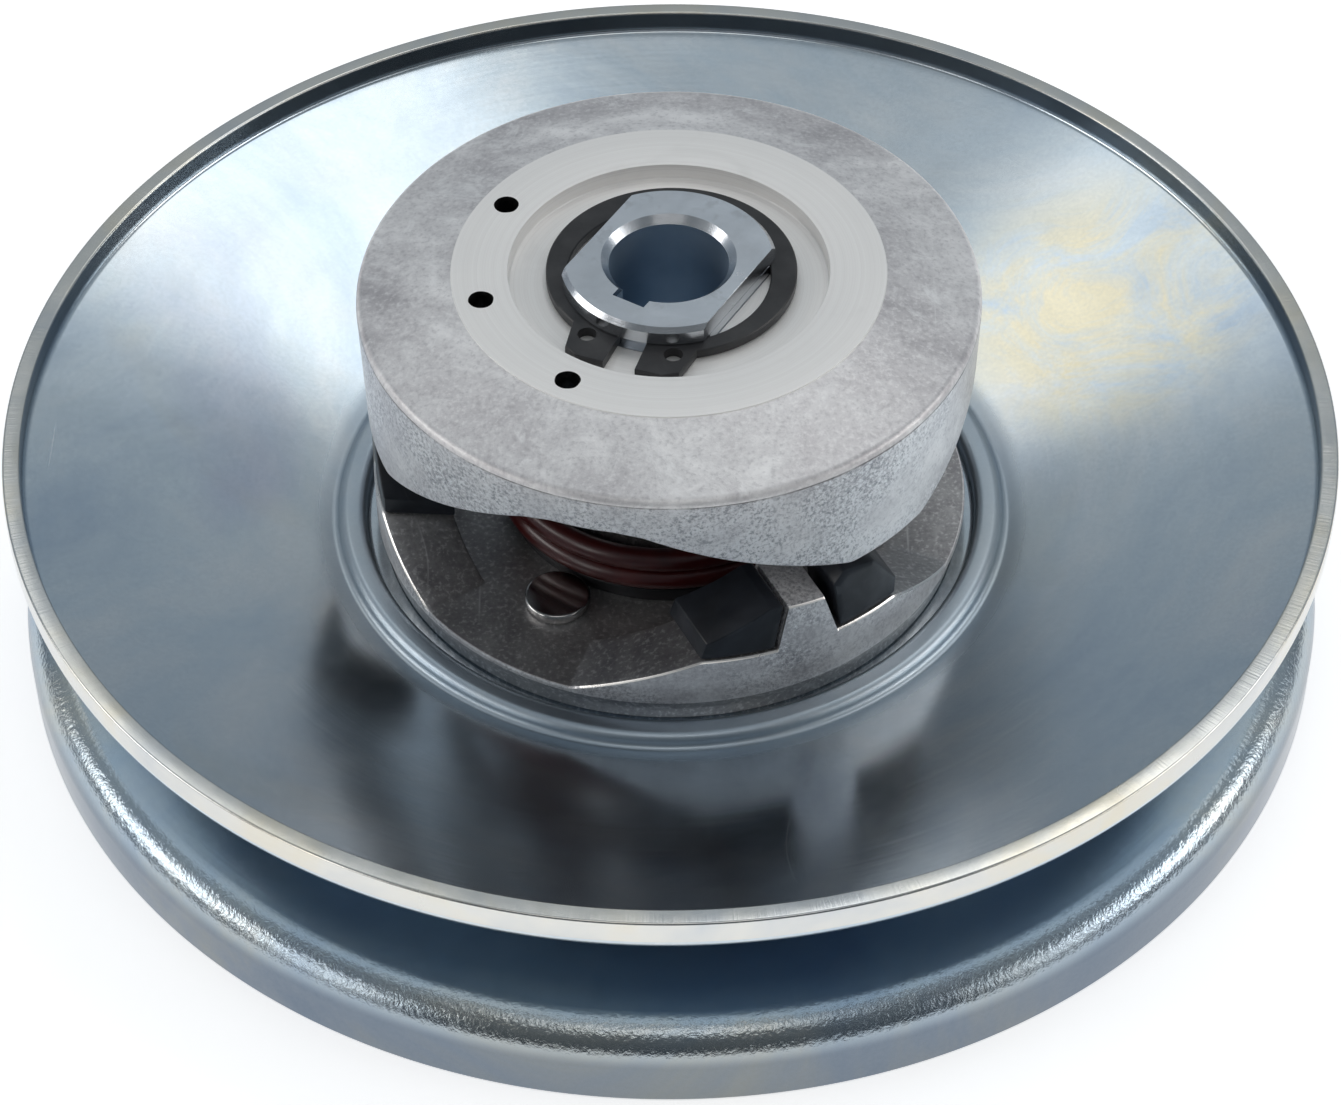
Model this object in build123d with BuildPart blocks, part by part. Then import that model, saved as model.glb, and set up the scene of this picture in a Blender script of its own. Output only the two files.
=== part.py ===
from build123d import *
import os
from math import cos, sin, tan, radians, pi

# Driven (secondary) pulley unit of a belt CVT, standing on the rim of its
# fixed sheave.  Axis of rotation = +Z, origin at the centre of the lower rim.
# All lengths are millimetres, all angles are degrees about +Z from +X.

os.makedirs("parts", exist_ok=True)

# ---------------------------------------------------------------- sheaves --
RIM_R = 90.5            # outside radius of both sheaves
SHEET = 2.4             # sheet thickness of both sheaves
# fixed sheave (lower)
FLANGE_FILLET = 5.5     # outside radius of the rolled shoulder
FIX_HUB_TOP = 12.4      # belt face height at the hub
FIX_RIM_TOP = 11.5      # belt face height at r = 84
FIX_FLAT_R = 28.0       # flat seat around the hub flange
# movable sheave (upper)
MOV_TOP = 35.0          # top of the upturned rim
RIM_WALL = 3.4          # inside height of the upturned rim
DISC_TOP = 16.0         # central disc that carries the cam
DISC_R = 42.3           # inside radius of the stiffening bead
BEAD_TOP = 19.0
BEAD_OUT = 45.8         # outer corner of the bead before rounding
BEAD_FOOT = (46.4, 17.0)
# --------------------------------------------------------------- post -----
POST_R = 14.25
POST_TOP = 61.9
BORE_R = 7.9375         # 5/8 in shaft
KEY_W = 4.76            # 3/16 in key
KEY_R = 10.07           # axis to keyway floor
KEY_AZ = -122.0
FLAT_AZ = -31.0         # direction normal to the two driving flats
FLAT_D = 10.8           # axis to each flat
SHOULDER = 47.8         # shoulder that the fixed cam seats on
GROOVE_R = 13.4         # circlip groove
GROOVE_Z = (57.82, 59.30)
# ------------------------------------------------------------ hub flange --
HUBF_R, HUBF_Z = 26.0, (6.6, 10.0)
PILOT_R = 17.0
RIVET_PCR = 21.5
# ------------------------------------------------------------- fixed cam --
CAM_R = 41.4            # outside radius just under the top edge
SKIRT_R = 40.9          # outside radius at the foot (draft)
SKIRT_IN = 31.2         # inside radius of the skirt
LOBE_Z = 38.4           # underside of the lobes
WEB_Z = 54.5            # underside of the top web
RING_Z = 60.2           # machined ring
RECESS_Z = 57.8         # recess floor for the circlip
TANG_R, TANG_D = 25.3, 3.35
TANG_AZ = (149.0, 194.0, 239.0)
NOTCH_AZ = -105.0       # centre of the first notch, three in all
# notch roof: (azimuth, height); lobes lie between the notches
NOTCH = [(-158.0, 38.0), (-117.0, 50.4), (-112.0, 51.2), (-100.0, 51.2), (-95.0, 50.6), (-53.7, 38.0)]
# ----------------------------------------------------------- movable cam --
MCAM_R = 40.8
MCAM_TOP = 20.6         # floor of the low land
RAMP_IN = 31.5          # inside radius of ramps and towers
TOWER_AZ = -64.0        # first tower, three in all
# top of the ramp ring: (azimuth, height)
WALL = [(-109.5, 20.4), (-84.5, 27.5), (-43.5, 26.8), (-23.0, 20.4)]
BOSS_R = 19.4
# ---------------------------------------------------------- hub sleeve ----
SLEEVE_IN, SLEEVE_OUT = 16.05, 18.2
SLEEVE_Z = (13.9, 34.5)
BUSH_R = 14.30          # running fit on the post: 0.05 mm radial clearance
# ---------------------------------------------------------------- spring --
WIRE = 3.2
SPRING_R = 22.6
SPRING_Z = (22.75, 54.35)
SPRING_TURNS = 4.75
TRAVEL = 12.5           # opening travel of the movable sheave


def radial_plane(az):
    """Plane that holds the Z axis; local x is the radius, local y is height."""
    a = radians(az)
    return Plane(origin=(0, 0, 0), x_dir=(cos(a), sin(a), 0), z_dir=(sin(a), -cos(a), 0))


def outward_plane(az, r):
    """Plane square to the radius at az; local x runs tangentially, local y is height."""
    a = radians(az)
    return Plane(origin=(r * cos(a), r * sin(a), 0), x_dir=(-sin(a), cos(a), 0), z_dir=(cos(a), sin(a), 0))


def interp(table, az):
    for (a0, z0), (a1, z1) in zip(table, table[1:]):
        if a0 <= az <= a1:
            return z0 + (z1 - z0) * (az - a0) / (a1 - a0)
    return table[0][1] if az < table[0][0] else table[-1][1]


def stations(table, step):
    """Azimuths of the loft sections: every table corner, and even steps between."""
    out = []
    for (a0, _), (a1, _) in zip(table, table[1:]):
        n = max(1, round((a1 - a0) / step))
        out += [a0 + (a1 - a0) * i / n for i in range(n)]
    return out + [table[-1][0]]


def near(items, x, y):
    """The sketch vertices nearest a point."""
    return items.sort_by_distance((x, y, 0))[0]


slope_mov = (MOV_TOP - RIM_WALL - BEAD_FOOT[1]) / (RIM_R - SHEET - BEAD_FOOT[0])
under = SHEET * (1 + slope_mov ** 2) ** 0.5

# ------------------------------------------------------------ fixed sheave -
slope_fix = (FIX_HUB_TOP - FIX_RIM_TOP) / (84.0 - FIX_FLAT_R)
with BuildPart() as fixed_sheave:
    with BuildSketch(Plane.XZ) as fs:
        z_out = FIX_HUB_TOP - slope_fix * (RIM_R - FIX_FLAT_R)
        with BuildLine():
            Polyline((PILOT_R + 0.05, FIX_HUB_TOP - SHEET), (PILOT_R + 0.05, FIX_HUB_TOP), (FIX_FLAT_R, FIX_HUB_TOP),
                     (RIM_R, z_out), (RIM_R, 0), (RIM_R - SHEET, 0), (RIM_R - SHEET, z_out - SHEET),
                     (FIX_FLAT_R, FIX_HUB_TOP - SHEET), close=True)
        make_face()
        fillet(near(fs.vertices(), RIM_R, z_out), FLANGE_FILLET)
        fillet(near(fs.vertices(), RIM_R - SHEET, z_out - SHEET), FLANGE_FILLET - SHEET)
        fillet(near(fs.vertices(), RIM_R, 0), 0.5)
        fillet(near(fs.vertices(), RIM_R - SHEET, 0), 0.5)
    revolve(axis=Axis.Z)
    # countersunk seats for the hub rivets, flush with the belt face
    with BuildSketch(Plane.XY.offset(FIX_HUB_TOP)):
        with PolarLocations(RIVET_PCR, 6):
            Circle(3.3)
    extrude(amount=-1.3, taper=45, mode=Mode.SUBTRACT)
    with BuildSketch(Plane.XY.offset(FIX_HUB_TOP)):
        with PolarLocations(RIVET_PCR, 6):
            Circle(2.05)
    extrude(amount=-SHEET - 1, mode=Mode.SUBTRACT)

# -------------------------------------------------------------- hub flange -
with BuildPart() as hub_flange:
    with BuildSketch(Plane.XZ) as hf:
        with BuildLine():
            Polyline((POST_R + 0.02, HUBF_Z[0]), (HUBF_R, HUBF_Z[0]), (HUBF_R, HUBF_Z[1]), (PILOT_R, HUBF_Z[1]),
                     (PILOT_R, FIX_HUB_TOP), (POST_R + 0.02, FIX_HUB_TOP), close=True)
        make_face()
        fillet(near(hf.vertices(), HUBF_R, HUBF_Z[0]), 0.8)
    revolve(axis=Axis.Z)
    with BuildSketch(Plane.XY.offset(HUBF_Z[1])):
        with PolarLocations(RIVET_PCR, 6):
            Circle(2.05)
    extrude(amount=-5, mode=Mode.SUBTRACT)

with BuildPart() as hub_rivets:
    with BuildSketch(Plane.XY.offset(HUBF_Z[0])):
        with PolarLocations(RIVET_PCR, 6):
            Circle(2.0)
    extrude(amount=FIX_HUB_TOP - HUBF_Z[0])
    with BuildSketch(Plane.XY.offset(FIX_HUB_TOP)):
        with PolarLocations(RIVET_PCR, 6):
            Circle(3.25)
    extrude(amount=-1.25, taper=45)
    with BuildSketch(Plane.XY.offset(HUBF_Z[0])):
        with PolarLocations(RIVET_PCR, 6):
            Circle(3.6)
    extrude(amount=-1.7)
    fillet(hub_rivets.edges().filter_by(GeomType.CIRCLE).group_by(Axis.Z)[0], 1.2)

# -------------------------------------------------------------------- post -
with BuildPart() as post:
    with BuildSketch(Plane.XY):
        Circle(POST_R)
    extrude(amount=POST_TOP)
    chamfer(post.edges().filter_by(GeomType.CIRCLE).group_by(Axis.Z)[-1], 0.5)
    chamfer(post.edges().filter_by(GeomType.CIRCLE).group_by(Axis.Z)[0], 0.5)
    # two flats from the cam shoulder to the top
    with BuildSketch(Plane.XY.offset(SHOULDER)):
        Circle(POST_R + 3)
        Rectangle(2 * FLAT_D, 60, rotation=FLAT_AZ, mode=Mode.SUBTRACT)
    extrude(amount=POST_TOP - SHOULDER + 1, mode=Mode.SUBTRACT)
    # circlip groove
    with BuildSketch(Plane.XY.offset(GROOVE_Z[0])):
        Circle(POST_R + 3)
        Circle(GROOVE_R, mode=Mode.SUBTRACT)
    extrude(amount=GROOVE_Z[1] - GROOVE_Z[0], mode=Mode.SUBTRACT)
    # bore with a lead-in chamfer at both ends
    with BuildSketch(Plane.XZ) as bs:
        with BuildLine():
            Polyline((0, -1), (BORE_R + 2.05, -1), (BORE_R, 1.05), (BORE_R, POST_TOP - 1.05),
                     (BORE_R + 2.05, POST_TOP + 1), (0, POST_TOP + 1), close=True)
        make_face()
    revolve(axis=Axis.Z, mode=Mode.SUBTRACT)
    # keyway, full length
    with BuildSketch(Plane.XY.offset(-1)):
        with Locations(Location((0, 0, 0), (0, 0, KEY_AZ))):
            with Locations((KEY_R / 2, 0)):
                Rectangle(KEY_R, KEY_W)
    extrude(amount=POST_TOP + 2, mode=Mode.SUBTRACT)

# --------------------------------------------------------------- fixed cam -
with BuildPart() as notch_cut:
    for az in stations(NOTCH, 2.5):
        zt = interp(NOTCH, az)
        with BuildSketch(radial_plane(az)):
            with Locations(((28.0 + 46.0) / 2, (zt + 30.0) / 2)):
                Rectangle(46.0 - 28.0, zt - 30.0)
    loft(ruled=True)

with BuildPart() as fixed_cam:
    with BuildSketch(Plane.XZ) as fc:
        with BuildLine():
            Polyline((8.0, SHOULDER), (18.5, SHOULDER), (18.5, WEB_Z), (SKIRT_IN, WEB_Z), (SKIRT_IN, LOBE_Z),
                     (SKIRT_R, LOBE_Z), (CAM_R, 57.2), (28.7, RING_Z - 0.1), (28.7, RING_Z), (21.2, RING_Z),
                     (21.2, RECESS_Z), (8.0, RECESS_Z), close=True)
        make_face()
        fillet(near(fc.vertices(), CAM_R, 57.2), 1.3)
        fillet(near(fc.vertices(), SKIRT_IN, WEB_Z), 1.5)
        fillet(near(fc.vertices(), 18.5, WEB_Z), 1.0)
        fillet(near(fc.vertices(), 21.2, RECESS_Z), 0.3)
    revolve(axis=Axis.Z)
    # double-D bore that fits over the flats of the post
    with BuildSketch(Plane.XY.offset(SHOULDER - 1)):
        Circle(POST_R + 0.08)
        Rectangle(2 * (FLAT_D + 0.07), 60, rotation=FLAT_AZ, mode=Mode.INTERSECT)
    extrude(amount=14, mode=Mode.SUBTRACT)
    # anchor holes for the spring's upper end, three preload settings
    with BuildSketch(Plane.XY.offset(RING_Z + 1)):
        with Locations(*[(TANG_R * cos(radians(a)), TANG_R * sin(radians(a))) for a in TANG_AZ]):
            Circle(TANG_D / 2)
    extrude(amount=-8, mode=Mode.SUBTRACT)
    # the three notches between the lobes
    with PolarLocations(0, 3):
        add(notch_cut.part, mode=Mode.SUBTRACT)

# ----------------------------------------------------------------- circlip -
CLIP_AZ = -110.0
# outline of one lug: (angle from the middle of the gap, radius)
LUG = [(32.0, 13.5), (34.0, 16.6), (23.5, 19.6), (17.0, 20.0), (6.5, 19.3), (8.0, 13.5)]


def polar(r, az):
    return (r * cos(radians(az)), r * sin(radians(az)))


with BuildPart() as circlip:
    with BuildSketch(Plane.XY.offset(GROOVE_Z[0] + 0.03)) as cs:
        # the band is thickest opposite the gap
        with Locations(polar(1.05, CLIP_AZ + 180)):
            Circle(16.6)
        for side in (-1, 1):
            with BuildLine():
                Polyline(*[polar(r, CLIP_AZ + side * a) for a, r in LUG], close=True)
            make_face()
        Circle(GROOVE_R + 0.05, mode=Mode.SUBTRACT)
        with BuildLine():
            Polyline(polar(10, CLIP_AZ), polar(26, CLIP_AZ - 6.4), polar(26, CLIP_AZ + 6.4), close=True)
        make_face(mode=Mode.SUBTRACT)
        with Locations(polar(16.0, CLIP_AZ - 21.75), polar(16.0, CLIP_AZ + 21.75)):
            Circle(1.25, mode=Mode.SUBTRACT)
    extrude(amount=1.4)

# ---------------------------------------------------------- movable sheave -
with BuildPart() as movable_sheave:
    with BuildSketch(Plane.XZ) as ms:
        zr = MOV_TOP - RIM_WALL
        zb = BEAD_FOOT[1] + slope_mov * (RIM_R - BEAD_FOOT[0]) - under
        rk = BEAD_FOOT[0] + (DISC_TOP - SHEET - BEAD_FOOT[1] + under) / slope_mov
        with BuildLine():
            Polyline((SLEEVE_OUT + 0.05, DISC_TOP - SHEET), (SLEEVE_OUT + 0.05, DISC_TOP), (DISC_R, DISC_TOP),
                     (DISC_R, BEAD_TOP), (BEAD_OUT, BEAD_TOP), BEAD_FOOT, (RIM_R - SHEET, zr), (RIM_R - SHEET, MOV_TOP),
                     (RIM_R, MOV_TOP), (RIM_R, zb), (rk, DISC_TOP - SHEET), close=True)
        make_face()
        fillet(near(ms.vertices(), RIM_R, zb), 2.9)
        fillet(near(ms.vertices(), RIM_R - SHEET, zr), 0.9)
        chamfer(near(ms.vertices(), RIM_R, MOV_TOP), 0.35)
        chamfer(near(ms.vertices(), RIM_R - SHEET, MOV_TOP), 0.25)
        fillet(near(ms.vertices(), DISC_R, BEAD_TOP), 1.3)
        fillet(near(ms.vertices(), BEAD_OUT, BEAD_TOP), 1.35)
        fillet(near(ms.vertices(), *BEAD_FOOT), 0.85)
        fillet(near(ms.vertices(), DISC_R, DISC_TOP), 0.6)
    revolve(axis=Axis.Z)
    # countersunk seats for the three cam rivets
    with BuildSketch(Plane.XY.offset(DISC_TOP - SHEET)):
        with PolarLocations(27.5, 3, start_angle=TOWER_AZ - 60):
            Circle(3.8)
    extrude(amount=1.4, taper=45, mode=Mode.SUBTRACT)
    with BuildSketch(Plane.XY.offset(DISC_TOP - SHEET)):
        with PolarLocations(27.5, 3, start_angle=TOWER_AZ - 60):
            Circle(2.45)
    extrude(amount=SHEET, mode=Mode.SUBTRACT)

# ------------------------------------------------------------- movable cam -
with BuildPart() as ramp_body:
    for az in stations(WALL, 2.5):
        zt = interp(WALL, az)
        with BuildSketch(radial_plane(az)):
            with Locations(((28.0 + 46.0) / 2, (zt + 18.0) / 2)):
                Rectangle(46.0 - 28.0, zt - 18.0)
    loft(ruled=True)


with BuildPart() as tower_body:
    with BuildSketch(outward_plane(TOWER_AZ, 20)):
        with BuildLine():
            Polyline((-4.4, 24), (-4.33, 27.3), (-2.93, 34.8), (2.37, 34.3), (4.68, 26.9), (4.72, 24), close=True)
        make_face()
    extrude(amount=30)

with BuildPart() as cam_crown:
    # ring that the ramps and towers are trimmed to
    with BuildSketch(Plane.XY.offset(19)):
        Circle(MCAM_R)
        Circle(RAMP_IN, mode=Mode.SUBTRACT)
    extrude(amount=20)
    with BuildPart(mode=Mode.PRIVATE) as crown_shape:
        with PolarLocations(0, 3):
            add(ramp_body.part)
            add(tower_body.part)
    add(crown_shape.part, mode=Mode.INTERSECT)

with BuildPart() as movable_cam:
    with BuildSketch(Plane.XZ) as mc:
        with BuildLine():
            Polyline((SLEEVE_OUT + 0.05, DISC_TOP), (40.0, DISC_TOP), (40.0, 17.8), (MCAM_R, 19.8), (MCAM_R, MCAM_TOP),
                     (BOSS_R, MCAM_TOP), (BOSS_R, 30.0), (SLEEVE_OUT + 0.05, 30.0), close=True)
        make_face()
    revolve(axis=Axis.Z)
    add(cam_crown.part)
    # rivet holes, the anchor hole for the spring's lower end, and pockets for the insert pegs
    with BuildSketch(Plane.XY.offset(DISC_TOP)):
        with PolarLocations(27.5, 3, start_angle=TOWER_AZ - 60):
            Circle(2.45)
    extrude(amount=MCAM_TOP - DISC_TOP + 0.5, mode=Mode.SUBTRACT)
    with BuildSketch(Plane.XY.offset(DISC_TOP)):
        with Locations((25.5 * cos(radians(30)), 25.5 * sin(radians(30)))):
            Circle(1.75)
    extrude(amount=MCAM_TOP - DISC_TOP + 0.5, mode=Mode.SUBTRACT)
    with BuildSketch(Plane.XY.offset(23.2)):
        with PolarLocations(36.2, 3, start_angle=TOWER_AZ - 15.5):
            Circle(1.75)
        with PolarLocations(36.2, 3, start_angle=TOWER_AZ + 15.5):
            Circle(1.75)
    extrude(amount=5, mode=Mode.SUBTRACT)

with BuildPart() as cam_rivets:
    with BuildSketch(Plane.XY.offset(DISC_TOP - SHEET)):
        with PolarLocations(27.5, 3, start_angle=TOWER_AZ - 60):
            Circle(2.4)
    extrude(amount=MCAM_TOP - DISC_TOP + SHEET)
    with BuildSketch(Plane.XY.offset(DISC_TOP - SHEET)):
        with PolarLocations(27.5, 3, start_angle=TOWER_AZ - 60):
            Circle(3.75)
    extrude(amount=1.35, taper=45)
    with BuildSketch(Plane.XY.offset(MCAM_TOP)):
        with PolarLocations(27.5, 3, start_angle=TOWER_AZ - 60):
            Circle(4.4)
    extrude(amount=1.6)
    fillet(cam_rivets.edges().filter_by(GeomType.CIRCLE).group_by(Axis.Z)[-1], 0.35)

# ------------------------------------------------------------ ramp inserts -
# outlines in the plane square to the tower: (tangential, height)
DRIVE = [(5.1, 27.15), (3.8, 35.6), (5.4, 37.5), (10.3, 36.2), (14.7, 29.7), (14.6, 26.98)]
COAST = [(-14.3, 27.68), (-13.6, 30.4), (-5.2, 35.2), (-3.1, 35.6), (-4.55, 27.48)]
PEG_R, PEG_OFF = 36.2, 15.5     # locating pegs: radius, and azimuth either side of the tower

with BuildPart() as drive_body:
    with BuildSketch(outward_plane(TOWER_AZ, 20)) as ds:
        with BuildLine():
            Polyline(*DRIVE, close=True)
        make_face()
        fillet(ds.vertices().sort_by_distance(outward_plane(TOWER_AZ, 20).from_local_coords((5.4, 37.5, 0)))[0], 0.6)
    extrude(amount=30)

# the drive ramp's own surface, lowered by a working clearance, trims the block's back
RAMP_CLEAR = 0.55
with BuildPart() as ramp_trim:
    for az in [-80 + 2.5 * i for i in range(21)]:
        zt = 50.6 + (az + 95.0) * (NOTCH[5][1] - NOTCH[4][1]) / (NOTCH[5][0] - NOTCH[4][0]) - RAMP_CLEAR
        with BuildSketch(radial_plane(az)):
            with Locations(((26.0 + 48.0) / 2, (zt + 52.0) / 2)):
                Rectangle(48.0 - 26.0, 52.0 - zt)
    loft(ruled=True)

with BuildPart() as drive_insert:
    with BuildSketch(Plane.XY.offset(26)):
        Circle(40.5)
        Circle(RAMP_IN + 0.2, mode=Mode.SUBTRACT)
    extrude(amount=12)
    add(drive_body.part, mode=Mode.INTERSECT)
    add(ramp_trim.part, mode=Mode.SUBTRACT)
    with BuildSketch(Plane.XY.offset(23.4)):
        with PolarLocations(PEG_R, 1, start_angle=TOWER_AZ + PEG_OFF):
            Circle(1.7)
    extrude(amount=5)

with BuildPart() as coast_body:
    with BuildSketch(outward_plane(TOWER_AZ, 20)):
        with BuildLine():
            Polyline(*COAST, close=True)
        make_face()
    extrude(amount=30)

with BuildPart() as coast_insert:
    with BuildSketch(Plane.XY.offset(26)):
        Circle(40.5)
        Circle(RAMP_IN + 0.2, mode=Mode.SUBTRACT)
    extrude(amount=12)
    add(coast_body.part, mode=Mode.INTERSECT)
    with BuildSketch(Plane.XY.offset(23.4)):
        with PolarLocations(PEG_R, 1, start_angle=TOWER_AZ - PEG_OFF):
            Circle(1.7)
    extrude(amount=5.4)

with BuildPart() as drive_insert_1:
    add(drive_insert.part)
with BuildPart() as drive_insert_2:
    add(drive_insert.part, rotation=(0, 0, 120))
with BuildPart() as drive_insert_3:
    add(drive_insert.part, rotation=(0, 0, 240))
with BuildPart() as coast_insert_1:
    add(coast_insert.part)
with BuildPart() as coast_insert_2:
    add(coast_insert.part, rotation=(0, 0, 120))
with BuildPart() as coast_insert_3:
    add(coast_insert.part, rotation=(0, 0, 240))

# ------------------------------------------- sleeve, bushes, spring seat ---
with BuildPart() as hub_sleeve:
    with BuildSketch(Plane.XY.offset(SLEEVE_Z[0])):
        Circle(SLEEVE_OUT)
        Circle(SLEEVE_IN, mode=Mode.SUBTRACT)
    extrude(amount=SLEEVE_Z[1] - SLEEVE_Z[0])
    chamfer(hub_sleeve.edges().filter_by(GeomType.CIRCLE).group_by(Axis.Z)[-1], 0.4)

with BuildPart() as lower_bush:
    with BuildSketch(Plane.XY.offset(14.1)):
        Circle(SLEEVE_IN - 0.01)
        Circle(BUSH_R, mode=Mode.SUBTRACT)
    extrude(amount=8.0)

with BuildPart() as upper_bush:
    with BuildSketch(Plane.XY.offset(26.2)):
        Circle(SLEEVE_IN - 0.01)
        Circle(BUSH_R, mode=Mode.SUBTRACT)
    extrude(amount=8.0)

with BuildPart() as spring_seat:
    with BuildSketch(Plane.XY.offset(MCAM_TOP)):
        Circle(22.8)
        Circle(BOSS_R + 0.15, mode=Mode.SUBTRACT)
    extrude(amount=2.0)

# ------------------------------------------------------------------ spring -
with BuildPart() as spring:
    z0 = SPRING_Z[0] + WIRE / 2
    h = SPRING_Z[1] - SPRING_Z[0] - WIRE
    with BuildLine() as coil:
        Helix(pitch=h / SPRING_TURNS, height=h, radius=SPRING_R, center=(0, 0, z0))
    with BuildSketch(Plane(origin=coil.line @ 0, z_dir=coil.line % 0)):
        Circle(WIRE / 2)
    sweep(path=coil.line, is_frenet=True)

# ------------------------------------------------------------------ export -
finished = {
    "post": post, "hub_flange": hub_flange, "hub_rivets": hub_rivets, "fixed_sheave": fixed_sheave,
    "fixed_cam": fixed_cam, "circlip": circlip, "movable_sheave": movable_sheave, "movable_cam": movable_cam,
    "cam_rivets": cam_rivets, "drive_insert_1": drive_insert_1, "drive_insert_2": drive_insert_2,
    "drive_insert_3": drive_insert_3, "coast_insert_1": coast_insert_1, "coast_insert_2": coast_insert_2,
    "coast_insert_3": coast_insert_3, "hub_sleeve": hub_sleeve, "lower_bush": lower_bush, "upper_bush": upper_bush,
    "spring_seat": spring_seat, "spring": spring,
}
for name, piece in finished.items():
    piece.part.label = name
    export_step(piece.part, f"parts/{name}.step")
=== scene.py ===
from math import pi, sin, cos, tan, radians, degrees, sqrt, hypot, atan2, acos, asin

import bpy
from mathutils import Matrix, Vector, noise


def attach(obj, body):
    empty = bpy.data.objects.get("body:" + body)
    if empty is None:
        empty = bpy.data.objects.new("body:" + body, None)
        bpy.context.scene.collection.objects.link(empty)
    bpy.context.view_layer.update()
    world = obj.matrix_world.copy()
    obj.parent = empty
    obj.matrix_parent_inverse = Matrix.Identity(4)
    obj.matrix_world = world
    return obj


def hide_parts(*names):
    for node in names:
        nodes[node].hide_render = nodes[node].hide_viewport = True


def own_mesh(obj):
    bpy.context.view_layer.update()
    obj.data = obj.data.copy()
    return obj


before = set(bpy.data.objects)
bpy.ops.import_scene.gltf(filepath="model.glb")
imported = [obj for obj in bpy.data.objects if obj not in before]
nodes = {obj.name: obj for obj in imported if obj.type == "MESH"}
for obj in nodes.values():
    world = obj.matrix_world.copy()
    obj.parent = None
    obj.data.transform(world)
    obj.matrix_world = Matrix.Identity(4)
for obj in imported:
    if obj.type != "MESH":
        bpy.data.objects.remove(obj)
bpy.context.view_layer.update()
MM = 0.001


# ------------------------------------------------------------ mesh helpers --
def mesh_object(name, verts, faces, mats, fmat=None, sharp=32):
    """verts in millimetres; smooth shaded, with edges over `sharp` degrees kept crisp."""
    me = bpy.data.meshes.new(name)
    me.from_pydata([(x * MM, y * MM, z * MM) for x, y, z in verts], [], faces)
    me.validate()
    me.update()
    for m in mats:
        me.materials.append(m)
    if fmat is not None:
        me.polygons.foreach_set("material_index", fmat)
    me.polygons.foreach_set("use_smooth", [True] * len(me.polygons))
    if sharp:
        me.set_sharp_from_angle(angle=radians(sharp))
    ob = bpy.data.objects.new(name, me)
    bpy.context.scene.collection.objects.link(ob)
    return ob


def rounded(pts, seg=6):
    """Closed (x, y, fillet radius) outline -> list of (x, y), always the same count for the same radii pattern."""
    out = []
    n = len(pts)
    for i, (x, y, r) in enumerate(pts):
        if r <= 0:
            out.append((x, y))
            continue
        px, py = pts[i - 1][:2]
        qx, qy = pts[(i + 1) % n][:2]
        ax, ay, bx, by = px - x, py - y, qx - x, qy - y
        la, lb = hypot(ax, ay), hypot(bx, by)
        ax, ay, bx, by = ax / la, ay / la, bx / lb, by / lb
        ang = acos(max(-1, min(1, ax * bx + ay * by)))
        t = min(r / tan(ang / 2), la * 0.49, lb * 0.49)
        rr = t * tan(ang / 2)
        mx, my = ax + bx, ay + by
        ml = hypot(mx, my) or 1e-9
        d = rr / sin(ang / 2)
        cx, cy = x + mx / ml * d, y + my / ml * d
        s = atan2(y + ay * t - cy, x + ax * t - cx)
        e = atan2(y + by * t - cy, x + bx * t - cx)
        da = (e - s + pi) % (2 * pi) - pi
        for k in range(seg + 1):
            out.append((cx + rr * cos(s + da * k / seg), cy + rr * sin(s + da * k / seg)))
    return out


def lathe(name, profile, mats, azimuths=None, n=384, pick=None, sharp=32, centre=(0, 0)):
    """Closed profile (r, z), or a function of azimuth that gives one, swept round the Z axis.
    pick(r, z) of a face's middle chooses its material."""
    az = azimuths or [360 * i / n for i in range(n)]
    verts, faces, fmat = [], [], []
    loops = [(profile(a) if callable(profile) else profile) for a in az]
    m = len(loops[0])
    for a, loop in zip(az, loops):
        c, s = cos(radians(a)), sin(radians(a))
        verts += [(centre[0] + r * c, centre[1] + r * s, z) for r, z in loop]
    na = len(az)
    for i in range(na):
        j = (i + 1) % na
        for k in range(m):
            l = (k + 1) % m
            faces.append((i * m + k, j * m + k, j * m + l, i * m + l))
            if pick:
                fmat.append(pick((loops[i][k][0] + loops[i][l][0]) / 2, (loops[i][k][1] + loops[i][l][1]) / 2, az[i]))
    # keep the outside of the ring facing out
    area = sum(loops[0][k][0] * loops[0][(k + 1) % m][1] - loops[0][(k + 1) % m][0] * loops[0][k][1] for k in range(m))
    if area < 0:
        faces = [f[::-1] for f in faces]
    return mesh_object(name, verts, faces, mats, fmat if pick else None, sharp)


def join_meshes(name, objs):
    """One object from several, keeping their first object's materials."""
    verts, faces, fm = [], [], []
    for o in objs:
        b = len(verts)
        verts += [tuple(v.co / MM) for v in o.data.vertices]
        faces += [tuple(b + i for i in p.vertices) for p in o.data.polygons]
        fm += [p.material_index for p in o.data.polygons]
    mats = list(objs[0].data.materials)
    for o in objs:
        bpy.data.objects.remove(o)
    return mesh_object(name, verts, faces, mats, fm)


def bake(ob):
    """Applies an object's modifiers to its mesh."""
    bpy.context.view_layer.update()
    dg = bpy.context.evaluated_depsgraph_get()
    me = bpy.data.meshes.new_from_object(ob.evaluated_get(dg))
    ob.modifiers.clear()
    old = ob.data
    ob.data = me
    bpy.data.meshes.remove(old)
    return ob


def cut(ob, tool, keep_tool=False):
    mod = ob.modifiers.new("cut", "BOOLEAN")
    mod.operation = "DIFFERENCE"
    mod.solver = "EXACT"
    mod.object = tool
    mod.material_mode = "TRANSFER"
    bake(ob)
    bpy.data.objects.remove(tool)
    return ob


def interp(table, a):
    for (a0, z0), (a1, z1) in zip(table, table[1:]):
        if a0 <= a <= a1:
            return z0 + (z1 - z0) * (a - a0) / (a1 - a0)
    return table[0][1] if a < table[0][0] else table[-1][1]


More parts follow.
